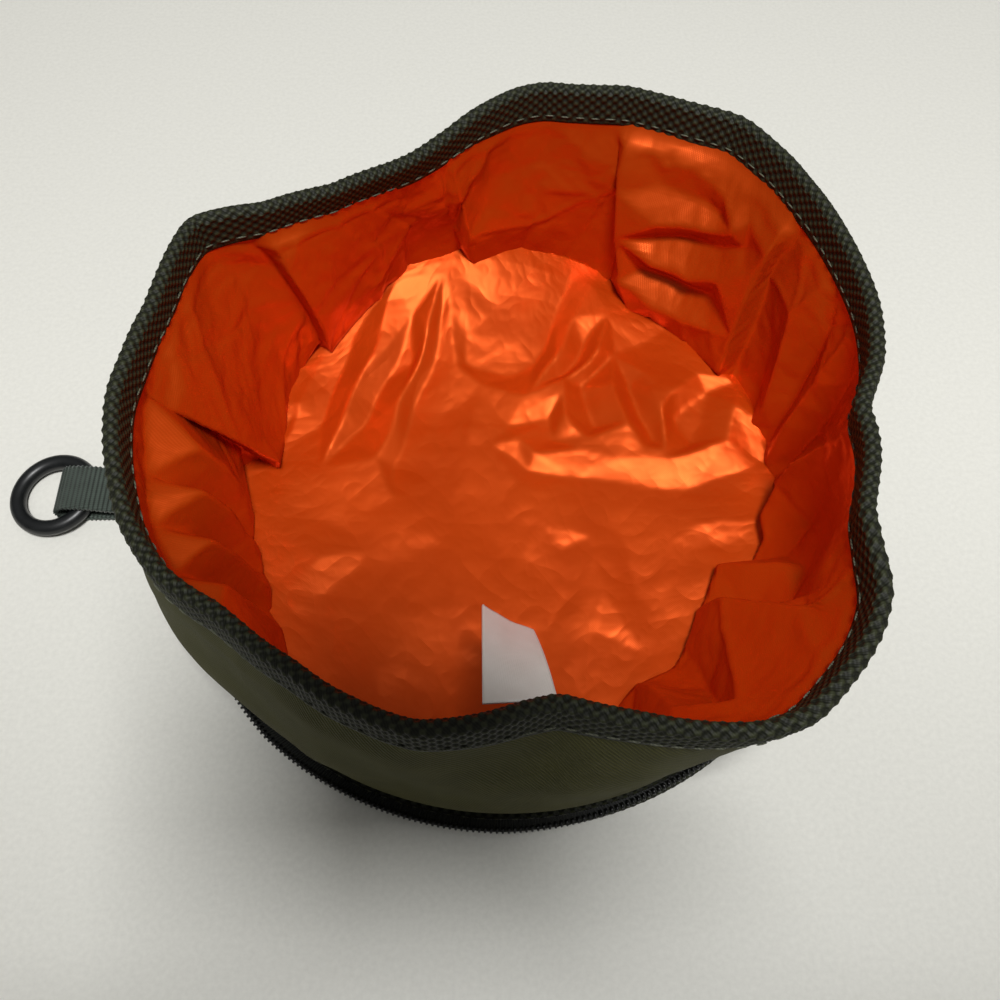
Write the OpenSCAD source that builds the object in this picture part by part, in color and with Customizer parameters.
// Collapsible cloth pet bowl with a zip round its base.
// Millimetres. The origin is the middle of the base on the floor, +Z is up,
// the front of the bowl faces -Y and the carrying ring lies at -X.

/* [Base panel] */
// Outer radius of the bound base edge
base_r = 76.4; // [60:0.1:110]
// Thickness of the padded base panel
base_t = 2.2; // [1.6:0.1:5]
// Thickness of the panel where the binding squeezes it
base_edge_t = 1.4; // [0.8:0.1:1.6]
// Width of the binding tape on each face of the base panel
base_bind_w = 5.4; // [4:0.1:10]
// Thickness of the base binding tape
base_bind_t = 0.6; // [0.4:0.1:1.2]
// Half of the angle that the cloth hinge takes up
hinge_half = 28; // [20:1:45]

/* [Zip] */
// Distance of the zip's foot from the edge of the base
zip_setback = 2.2; // [1.8:0.1:4]
// Thickness of both zip tapes
tape_t = 0.5; // [0.3:0.05:0.8]
// Height of the lower tape above the binding
tape_h = 2.6; // [2.4:0.1:5]
// How far the lower tape leans out over its height
tape_lean = 1.2; // [0.8:0.1:2]
// Width of the upper tape under the floor
upper_tape_w = 7; // [4:0.5:12]
// Width of a coil across its teeth
coil_w = 1.6; // [1.2:0.1:2]
// Height of a coil
coil_h = 1.6; // [1:0.1:2]
// Depth of the gaps between coil teeth
coil_tooth = 0.5; // [0.3:0.05:0.7]
// Distance from one coil tooth to the next
coil_pitch = 1.2; // [1.2:0.1:3]

/* [Slider] */
// Angle from the cloth hinge to the parked slider
park_angle = 8; // [6:0.5:20]
// Length of the slider along the zip
slider_l = 8.6; // [7:0.1:12]
// Width of the slider across the zip
slider_w = 5.4; // [5.2:0.1:8]
// Thickness of each slider plate
slider_plate_t = 0.9; // [0.6:0.1:1.2]
// Length of the pull tab
pull_l = 18; // [12:0.5:30]
// Width of the pull tab
pull_w = 4.6; // [4:0.1:6]
// Thickness of the pull tab
pull_t = 1.1; // [0.8:0.1:1.3]
// Room between the slider and the band behind it
band_gap = 1.4; // [0.6:0.1:4]

/* [Bowl] */
// Thickness of the woven floor panel
floor_t = 1.0; // [0.6:0.1:3]
// Thickness of the outer wall cloth
wall_t = 0.9; // [0.5:0.1:2]
// Thickness of the coated liner
liner_t = 0.5; // [0.3:0.1:1]
// How far the loose liner hangs in from the outer wall
liner_slack = 2.2; // [0:0.1:4]
// How far the floor's liner is drawn up where it meets the back of the wall
floor_lift = 13; // [0:0.5:15]
// Length of the wall from the hem to the rim
wall_slant = 51.5; // [40:0.5:90]
// How far the wall bellies out between hem and rim
wall_belly = 1.5; // [0:0.1:4]
// How deep the folds of the standing wall are
fold_depth = 1.2; // [0:0.1:2]
// Number of folds round the wall
fold_count = 9; // [5:1:12]
// How far the folds turn, in degrees of a fold for each millimetre of height
fold_turn = 2.5; // [0:0.1:5]
// How far the hem stands out from the band below it
hem_out = 2.6; // [0.5:0.1:3.5]
// How far the hem rises as it stands out
hem_rise = 1.6; // [1:0.1:3]

/* [Rim] */
// Height of the binding tape on each side of the rim
rim_bind_w = 10; // [6:0.5:16]
// Thickness of the rim binding tape
rim_bind_t = 0.8; // [0.5:0.1:1.5]

/* [Label] */
// Width of the label
label_w = 13; // [8:0.5:20]
// Length of the label
label_l = 27; // [15:0.5:35]
// Thickness of the folded label
label_t = 0.5; // [0.3:0.1:1]
// How steeply the label hangs, from level
label_droop = 38; // [20:1:60]
// Room between the label's sewn edge and the hollow of the rim that it is sewn in
label_room = 1.0; // [0.8:0.1:3]
// Where the label is sewn in, round the rim
label_angle = 273; // [271:1:276]

/* [Carrying ring] */
// Outer diameter of the ring
ring_od = 22; // [18:0.5:30]
// Diameter of the ring's own section
ring_wire = 3.8; // [3:0.1:5]
// Width of the webbing
web_w = 11.8; // [8:0.1:12]
// Thickness of one layer of webbing
web_t = 1.2; // [0.8:0.1:2]
// Length of the loop from its seam to the middle of the ring's section
loop_reach = 23; // [18:0.5:40]
// Height of the loop's seam above the middle of the base binding
loop_lift = 0.4; // [0.2:0.1:2]
// Slack in the loop beyond the ring's section
loop_slack = 4.5; // [3.2:0.1:6]
// Length of the seam that joins the two layers of webbing
loop_seam = 10; // [6:0.5:14]
// Place of the loop across the bowl
loop_y = 2.5; // [-10:0.5:10]

/* [Hidden] */
$fn = 96;

// Clearance between pieces of cloth that lie on each other
fit = 0.3;
// Clearance of a piece that runs or turns
run = 0.35;
// Gap that is left where cloth is sewn to cloth
seam_gap = 0.1;
// Height of the pocket between the base and the bowl
pocket_gap = 0.6;
// Number of columns of cloth round the wall
columns = 78;

// Where the rim stands in or out of the base's edge, by angle.
// The bowl is soft, and this is how it stands: flat sides between the corners that it was folded at.
rim_places = [
    [0, -6], [10, -3.5], [24, -1.5], [38, 2], [51, 6], [61, 2], [69, 1.5], [77, -2], [84, -2],
    [89, -5], [103, -16], [113, -19.5], [129, -18.5], [144, -12.5], [152, -3.5], [171, -6],
    [188, -2.5], [209, -1.5], [218, -2.5], [227, -5.5], [240, -5.5], [258, -3], [266, -5.5],
    [276, -9.5], [286, -3.5], [298, 5], [303, 8], [316, 6], [323, 3], [331, -5.5], [344, -7.5],
    [351, -10], [360, -6]
];

// The tucks where the loose liner folds inwards over the floor, deepest at the hem:
// angle at the rim, angle at the hem, depth, and width of the flat and of the steep side.
liner_tucks = [
    [180, 172, 16, 30, 7], [197, 198, 10, 14, 6], [209, 208, 10.5, 6, 9], [286, 284, 12, 8, 8],
    [297, 303, 12, 10, 12], [320, 325, 17, 18, 8], [355, 352, 9, 7, 8], [9, 7, 6, 8, 6],
    [24, 19, 7, 8, 8], [67, 61, 6, 22, 4], [102, 97, 6, 26, 4], [142, 137, 6.5, 18, 5]
];
// Shares of the way down from the rim tape at which the wall's cloth has a row of points
row_shares = [1, 0.85, 0.55, 0.27, 0];

// The drawn-up part of the floor's liner: its angle, its half width in degrees, how far in from the edge
// it starts, how fast it steepens, and how far the wall's liner keeps its edge in
lift_turn = 105;
lift_half = 15;
lift_reach = 24;
lift_curve = 1.2;
lift_edge_in = 12;
lift_edge_half = 24;
// Rings of points in the floor's liner, as shares of its radius, and points in each ring
floor_rings = [0.35, 0.6, 0.75, 0.87, 1];
floor_columns = 60;

// Heights of the base
bind_h = 2 * base_bind_t + base_edge_t;
tape_top = bind_h + tape_h;
coil_top = tape_top + coil_h;

// Teeth to each straight stretch of a coil's back
teeth_per_chord = 4;

// Radii of the zip
zip_foot_r = base_r - zip_setback;
coil_r = zip_foot_r + tape_lean + tape_t / 2;
zip_end_gap = 0.5;
zip_start = 180 + hinge_half + zip_end_gap;
zip_span = 360 - 2 * (hinge_half + zip_end_gap);

// The slider runs on the lower coil, and its plates stand on both sides of the tape
slider_half = coil_w / 2 + run;
coil_rise = 0.2;
slider_z = coil_top - coil_rise;
slider_park = 180 - hinge_half - park_angle;
slider_in_r = coil_r - slider_half - slider_plate_t;
slider_corner = 0.6;
flange_t = 0.8;
flange_in = 0.5;
wedge_l = 2.4;
wedge_back = 0.4;

// The bail on the slider's face, and the pull's pin and window that it passes through
bail_w = 1.6;
bail_wire = 0.8;
bail_r = 3.6;
bail_sink = 1.2;
pull_pin_x = pull_t / 2 + fit;
window_l = 4;
window_w = bail_w + 2 * run;

// The slot of the rim binding, which holds the wall and its liner
slot_out = wall_t + fit;
slot_in = -2 * fit - liner_t;
rim_in = slot_in - rim_bind_t;

// Heights and radii of the bowl's own bottom
bowl_z = max(base_t, bind_h) + pocket_gap;
floor_z = bowl_z + tape_t;
floor_top = floor_z + floor_t;
band_r = min(slider_in_r, zip_foot_r) - band_gap;
band_in = band_r - wall_t;
floor_r = band_in - fit;
band_z = bowl_z + coil_h + fit;
hem_z = max(slider_z + slider_w / 2, band_z) + 2 * fit;
hem_r = band_in + hem_out;
hem_top = hem_z + hem_rise;
upper_coil_r = floor_r + seam_gap + coil_w / 2;
floor_liner_r = floor_r - liner_t - 3 * fit;

// The ring rests on the floor, tipped by the height of the loop that holds it
ring_r = (ring_od - ring_wire) / 2;
loop_eye = ring_wire / 2 + run;
loop_bulb = loop_eye + web_t;
loop_root_x = base_r + fit + web_t;
loop_root_z = bind_h / 2 + loop_lift;
seam_end = 1.5;
eye_start = 0.5;
ring_tip = asin((loop_bulb - ring_wire / 2) / (2 * ring_r));

olive = "#3d402c";
olive_tape = "#39402f";
orange = "#e8561c";
black = "#17191a";

// The standing cloth. Its reference surface is the inner face of the outer wall.
function rim_at(a) =
    let (r = base_r + lookup(a, rim_places), out = r - hem_r)
    [r, hem_top + sqrt(wall_slant * wall_slant - out * out)];
function along_wall(a) = let (v = rim_at(a) - [hem_r, hem_top]) v / norm(v);
function across_wall(a) = let (d = along_wall(a)) [d[1], -d[0]];

// A point of the wall: s is the distance down from the rim, off is the distance outwards
function wall_point(a, s, off) = rim_at(a) - s * along_wall(a) + off * across_wall(a);
function swell(s) = s <= rim_bind_w ? 0 : sin(180 * (s - rim_bind_w) / (wall_slant - rim_bind_w));
function belly(a, s) = swell(s) * (wall_belly + fold_depth * sin(fold_count * a + fold_turn * s));
wall_rows = [for (share = row_shares) rim_bind_w + (wall_slant - rim_bind_w) * share];

function wall_side(a, off) = [
    for (s = wall_rows) wall_point(a, s, off + belly(a, s)),
    wall_point(a, 0, off)
];

// How far one tuck of the liner stands inwards
function tuck_at(t, a, s) =
    let (
        share = max(0, (s - rim_bind_w) / (wall_slant - rim_bind_w)),
        turn = a - t[0] - (t[1] - t[0]) * share,
        width = turn < 0 ? t[3] : t[4]
    )
    t[2] * share * max(0, 1 - abs(turn) / width);
function tucks_at(a, s) = max([for (t = liner_tucks) tuck_at(t, a, s)]);
function liner_side(a, off) = [
    for (s = wall_rows)
        wall_point(a, s, off + belly(a, s) - liner_slack * swell(s) - tucks_at(a, s)),
    wall_point(a, 0, off)
];

// The floor's liner, which is drawn up at the back and stays clear of the wall's liner there
function bell(a, half) = exp(-pow((a - lift_turn) / half, 2) / 2);
function floor_edge(a) = floor_liner_r - lift_edge_in * bell(a, lift_edge_half);
function floor_rise(a, r) =
    floor_lift * bell(a, lift_half) * pow(max(0, 1 + (r - floor_liner_r) / lift_reach), lift_curve);
function floor_ring(share, h) = [
    for (k = [0:floor_columns - 1])
        let (a = 360 * k / floor_columns, r = share * floor_edge(a))
        [r * cos(a), r * sin(a), h + floor_rise(a, r)]
];

function backwards(list) = [for (k = [len(list) - 1:-1:0]) list[k]];

// Joins one closed outline per column into a ring of cloth
module ring_of_cloth(outlines) {
    n = len(outlines);
    m = len(outlines[0]);
    points = [
        for (i = [0:n - 1])
            let (a = 360 * i / n)
            for (p = outlines[i]) [p[0] * cos(a), p[0] * sin(a), p[1]]
    ];
    faces = [
        for (i = [0:n - 1], j = [0:m - 1])
            let (
                p = i * m + j,
                q = i * m + (j + 1) % m,
                r = ((i + 1) % n) * m + (j + 1) % m,
                s = ((i + 1) % n) * m + j,
                rises = outlines[i][(j + 1) % m][1] > outlines[i][j][1]
            )
            // The diagonals of facing layers run the same way, so that the layers don't cross
            each rises ? [[p, q, r], [p, r, s]] : [[p, q, s], [q, r, s]]
    ];
    polyhedron(points = points, faces = faces);
}

// A flat comb bent round the base, with its teeth outwards
module coil(r, span) {
    teeth = floor(span / 360 * 2 * PI * r / coil_pitch);
    step = span / teeth;
    tip = r + coil_w / 2;
    root = tip - coil_tooth;
    outer = [
        for (k = [0:teeth - 1])
            each [[root, k * step], [tip, (k + 0.5) * step]]
    ];
    inner = [for (k = [teeth:-teeth_per_chord:0]) [r - coil_w / 2, k * step]];
    linear_extrude(height = coil_h)
        polygon([for (p = concat(outer, inner)) [p[0] * cos(p[1]), p[0] * sin(p[1])]]);
}

module base_panel() {
    edge_r = base_r - base_bind_t - seam_gap;
    crown_r = base_r - base_bind_w - seam_gap;
    color(olive)
        rotate_extrude()
            polygon([
                [0, 0], [crown_r, 0], [crown_r, base_bind_t], [edge_r, base_bind_t],
                [edge_r, base_bind_t + base_edge_t], [crown_r, base_bind_t + base_edge_t],
                [crown_r, base_t], [0, base_t]
            ]);
}

module base_binding() {
    in_r = base_r - base_bind_w;
    color(olive_tape)
        rotate_extrude()
            polygon([
                [in_r, 0], [base_r - base_bind_t / 2, 0], [base_r, base_bind_t / 2],
                [base_r, bind_h - base_bind_t / 2], [base_r - base_bind_t / 2, bind_h], [in_r, bind_h],
                [in_r, bind_h - base_bind_t], [base_r - base_bind_t, bind_h - base_bind_t],
                [base_r - base_bind_t, base_bind_t], [in_r, base_bind_t]
            ]);
}

module hinge_panel() {
    color(olive)
        rotate([0, 0, 180 - hinge_half])
            rotate_extrude(angle = 2 * hinge_half)
                translate([band_r + fit, bind_h])
                    square([wall_t, band_z - bind_h - fit / 2]);
}

module lower_zip_tape() {
    color(olive_tape)
        rotate([0, 0, zip_start])
            rotate_extrude(angle = zip_span)
                polygon([
                    [zip_foot_r, bind_h], [zip_foot_r + tape_t, bind_h],
                    [zip_foot_r + tape_lean + tape_t, tape_top], [zip_foot_r + tape_lean, tape_top]
                ]);
}

module lower_zip_coil() {
    color(black)
        rotate([0, 0, zip_start])
            translate([0, 0, tape_top])
                coil(coil_r, zip_span);
}

module upper_zip_tape() {
    color(olive_tape)
        rotate([0, 0, zip_start])
            rotate_extrude(angle = zip_span)
                translate([floor_r - upper_tape_w, bowl_z])
                    square([upper_tape_w, tape_t]);
}

module upper_zip_coil() {
    color(black)
        rotate([0, 0, zip_start])
            translate([0, 0, bowl_z])
                coil(upper_coil_r, zip_span);
}

module floor_panel() {
    color(olive)
        translate([0, 0, floor_z])
            cylinder(r = floor_r, h = floor_t);
}

module floor_liner() {
    n = floor_columns;
    rings = concat(
        [for (share = floor_rings) floor_ring(share, 0)],
        [for (share = backwards(floor_rings)) floor_ring(share, liner_t)]
    );
    points = concat([[0, 0, 0]], [for (ring = rings) each ring], [[0, 0, liner_t]]);
    last = len(points) - 1;
    faces = concat(
        [for (k = [0:n - 1]) [0, 1 + k, 1 + (k + 1) % n]],
        [
            for (i = [0:len(rings) - 2], k = [0:n - 1])
                let (p = 1 + i * n + k, q = 1 + i * n + (k + 1) % n)
                each [[p, p + n, q], [q, p + n, q + n]]
        ],
        [for (k = [0:n - 1]) [last, last - n + (k + 1) % n, last - n + k]]
    );
    color(orange)
        translate([0, 0, floor_top])
            polyhedron(points = points, faces = faces);
}

module hem_band() {
    color(olive)
        rotate_extrude()
            translate([band_in, band_z])
                square([wall_t, hem_z - fit - band_z]);
}

module outer_wall() {
    color(olive)
        ring_of_cloth([
            for (i = [0:columns - 1])
                let (a = 360 * i / columns)
                concat(
                    [[band_r, hem_z]], wall_side(a, wall_t),
                    backwards(wall_side(a, 0)), [[band_in, hem_z]]
                )
        ]);
}

module wall_liner() {
    foot = floor_top + fit;
    out_r = band_in - fit;
    color(orange)
        ring_of_cloth([
            for (i = [0:columns - 1])
                let (a = 360 * i / columns)
                concat(
                    [[out_r, foot], [out_r - tucks_at(a, wall_slant), hem_z]], liner_side(a, -fit),
                    backwards(liner_side(a, -fit - liner_t)),
                    [[out_r - liner_t - tucks_at(a, wall_slant), hem_z], [out_r - liner_t, foot]]
                )
        ]);
}

module rim_binding() {
    out = slot_out + rim_bind_t;
    top = -fit - rim_bind_t;
    round = rim_bind_t;
    color(olive_tape)
        ring_of_cloth([
            for (i = [0:columns - 1])
                let (a = 360 * i / columns)
                [
                    wall_point(a, rim_bind_w, out), wall_point(a, top + round, out),
                    wall_point(a, top, out - round), wall_point(a, top, rim_in + round),
                    wall_point(a, top + round, rim_in), wall_point(a, rim_bind_w, rim_in),
                    wall_point(a, rim_bind_w, slot_in), wall_point(a, -fit, slot_in),
                    wall_point(a, -fit, slot_out), wall_point(a, rim_bind_w, slot_out)
                ]
        ]);
}

module care_label() {
    // The label is sewn half way down the binding, and stands clear of its curve there
    sewn = wall_point(label_angle, rim_bind_w / 2, rim_in - label_room);
    color("#e9e2d8")
        rotate([0, 0, label_angle])
            translate([sewn[0], 0, sewn[1]])
                rotate([0, label_droop, 180])
                    translate([0, -label_w / 2, -label_t / 2])
                        cube([label_l, label_w, label_t]);
}

// Puts a piece on the lower coil: X outwards, Y along the zip, Z up
module on_zip() {
    rotate([0, 0, slider_park])
        translate([coil_r, 0, slider_z])
            children();
}

module slider_plate(x) {
    tail = slider_w / 2 - slider_corner;
    nose = slider_l / 2 - slider_corner;
    translate([x, 0, 0])
        rotate([90, 0, 90])
            linear_extrude(height = slider_plate_t)
                polygon([
                    [-slider_l / 2, -tail], [-slider_l / 8, -slider_w / 2], [nose, -slider_w / 2],
                    [slider_l / 2, -tail], [slider_l / 2, tail], [nose, slider_w / 2],
                    [-slider_l / 8, slider_w / 2], [-slider_l / 2, tail]
                ]);
}

module slider_body() {
    face = slider_half + slider_plate_t;
    wedge_z = coil_rise + run;
    color(black)
        on_zip() {
            slider_plate(slider_half);
            slider_plate(-face);
            // Flanges that keep the coils between the plates
            translate([flange_in, -slider_l / 8, slider_w / 2 - flange_t])
                cube([slider_half - flange_in, slider_l / 2, flange_t]);
            translate([flange_in, -slider_l / 8, -slider_w / 2])
                cube([slider_half - flange_in, slider_l / 2, flange_t]);
            translate([-slider_half, -slider_l / 8, slider_w / 2 - flange_t])
                cube([slider_half - flange_in, slider_l / 2, flange_t]);
            // Wedge that parts the coils and joins the plates
            translate([-slider_half, slider_l / 2 - wedge_back - wedge_l, wedge_z])
                cube([2 * slider_half, wedge_l, slider_w / 2 - wedge_z]);
            // Bail
            translate([face, 0, -bail_w / 2])
                linear_extrude(height = bail_w)
                    intersection() {
                        translate([-bail_sink, 0])
                            difference() {
                                circle(r = bail_r);
                                circle(r = bail_r - bail_wire);
                            }
                        translate([0, -bail_r])
                            square([bail_r, 2 * bail_r]);
                    }
        }
}

module pull_tab() {
    color(black)
        on_zip()
            translate([slider_half + slider_plate_t + pull_pin_x, 0, 0]) {
                translate([0, 0, -pull_w / 2])
                    cylinder(d = pull_t, h = pull_w);
                translate([-pull_t / 2, 0, 0])
                    rotate([90, 0, 90])
                        linear_extrude(height = pull_t)
                            difference() {
                                union() {
                                    translate([pull_w / 2 - pull_l, -pull_w / 2])
                                        square([pull_l - pull_w / 2, pull_w]);
                                    translate([pull_w / 2 - pull_l, 0])
                                        circle(d = pull_w);
                                }
                                translate([-window_l, -window_w / 2])
                                    square([window_l, window_w]);
                            }
            }
}

module webbing_loop() {
    slope = (loop_bulb - loop_root_z) / loop_reach;
    seam_z = loop_root_z + slope * loop_seam;
    nose = loop_reach + loop_slack;
    color("#35443a")
        translate([-loop_root_x, loop_y, 0])
            rotate([90, 0, 180])
                linear_extrude(height = web_w, center = true)
                    difference() {
                        union() {
                            translate([0, loop_root_z])
                                circle(r = web_t);
                            polygon([
                                [0, loop_root_z - web_t], [loop_seam, seam_z - web_t],
                                [loop_reach, 0], [nose, 0], [nose, 2 * loop_bulb],
                                [loop_reach, 2 * loop_bulb], [loop_seam, seam_z + web_t],
                                [0, loop_root_z + web_t]
                            ]);
                            translate([nose, loop_bulb])
                                circle(r = loop_bulb);
                        }
                        polygon([
                            [loop_seam + seam_end, seam_z], [loop_reach - eye_start, loop_bulb - loop_eye],
                            [nose, loop_bulb - loop_eye], [nose, loop_bulb + loop_eye],
                            [loop_reach - eye_start, loop_bulb + loop_eye]
                        ]);
                        translate([nose, loop_bulb])
                            circle(r = loop_eye);
                    }
}

module clip_ring() {
    color(black)
        translate([-loop_root_x - loop_reach, loop_y, loop_bulb])
            rotate([0, -ring_tip, 0])
                translate([-ring_r, 0, 0])
                    rotate_extrude()
                        translate([ring_r, 0])
                            circle(d = ring_wire);
}

base_panel();
base_binding();
hinge_panel();
lower_zip_tape();
lower_zip_coil();
floor_panel();
floor_liner();
hem_band();
outer_wall();
wall_liner();
upper_zip_tape();
upper_zip_coil();
rim_binding();
care_label();
slider_body();
pull_tab();
webbing_loop();
clip_ring();
